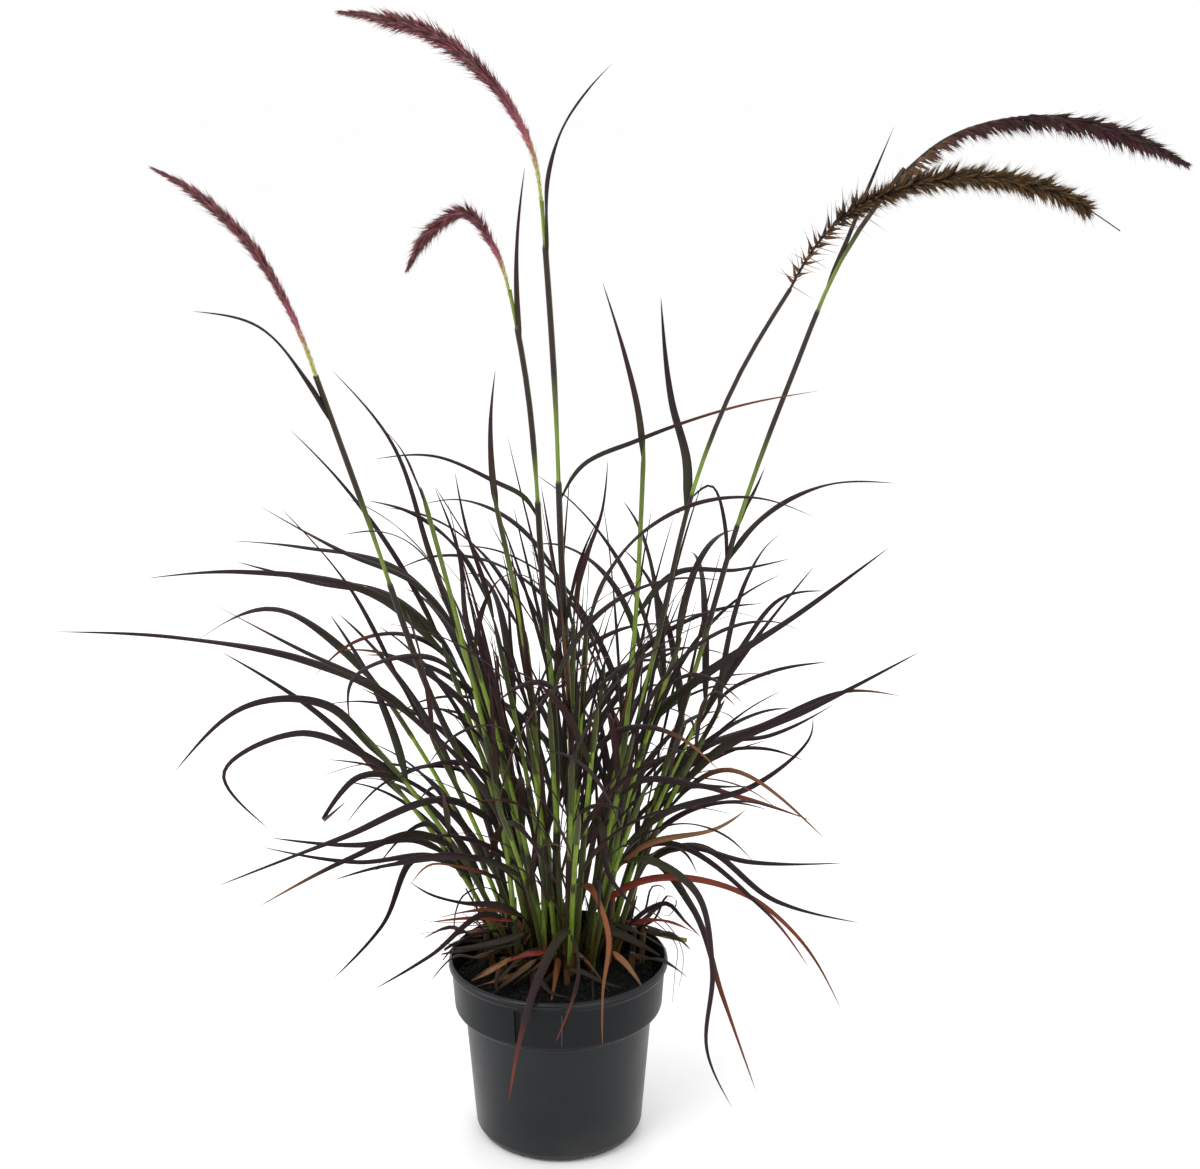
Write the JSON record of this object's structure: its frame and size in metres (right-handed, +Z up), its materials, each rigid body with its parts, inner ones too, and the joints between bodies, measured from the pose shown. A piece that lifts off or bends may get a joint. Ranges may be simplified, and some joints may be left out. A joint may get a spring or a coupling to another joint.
{
  "type": "potted purple fountain grass",
  "caption": "Tufted ornamental grass with arching dark purple strap leaves, green stems and nodding bristly seed plumes, growing in a round plastic nursery pot with a banded rim.",
  "frame": {"origin": "centre of the pot's underside, on the surface that the pot stands on", "axes": "+Z up along the pot's axis, +X to the right and -Y towards the viewer as in the picture"},
  "size_m": [0.99, 0.4332, 0.9985],
  "materials": {
    "pot_plastic": "satin",
    "soil": "matte",
    "culm": "satin",
    "leaf": "satin",
    "dry_leaf": "matte",
    "plume": "matte"
  },
  "bodies": {
    "root": {"culm_a": "culm", "culm_b": "culm", "culm_c": "culm", "culm_d": "culm", "culm_e": "culm", "dead_shoot_1": "dry_leaf", "dead_shoot_2": "dry_leaf", "dead_shoot_3": "dry_leaf", "dead_shoot_4": "dry_leaf", "dead_shoot_5": "dry_leaf", "dead_shoot_6": "dry_leaf", "dead_shoot_7": "dry_leaf", "dead_shoot_8": "dry_leaf", "leafy_shoot_1": "leaf", "leafy_shoot_10": "leaf", "leafy_shoot_11": "leaf", "leafy_shoot_12": "leaf", "leafy_shoot_13": "leaf", "leafy_shoot_14": "leaf", "leafy_shoot_15": "leaf", "leafy_shoot_16": "leaf", "leafy_shoot_17": "leaf", "leafy_shoot_18": "leaf", "leafy_shoot_19": "leaf", "leafy_shoot_2": "leaf", "leafy_shoot_20": "leaf", "leafy_shoot_21": "leaf", "leafy_shoot_22": "leaf", "leafy_shoot_23": "leaf", "leafy_shoot_24": "leaf", "leafy_shoot_25": "leaf", "leafy_shoot_26": "leaf", "leafy_shoot_27": "leaf", "leafy_shoot_28": "leaf", "leafy_shoot_29": "leaf", "leafy_shoot_3": "leaf", "leafy_shoot_30": "leaf", "leafy_shoot_31": "leaf", "leafy_shoot_32": "leaf", "leafy_shoot_33": "leaf", "leafy_shoot_34": "leaf", "leafy_shoot_4": "leaf", "leafy_shoot_5": "leaf", "leafy_shoot_6": "leaf", "leafy_shoot_7": "leaf", "leafy_shoot_8": "leaf", "leafy_shoot_9": "leaf", "plume_a": "plume", "plume_b": "plume", "plume_c": "plume", "plume_d": "plume", "plume_e": "plume", "pot": "pot_plastic", "soil": "soil", "tall_shoot_1": "leaf", "tall_shoot_2": "leaf", "tall_shoot_3": "leaf"}
  },
  "joints": []
}
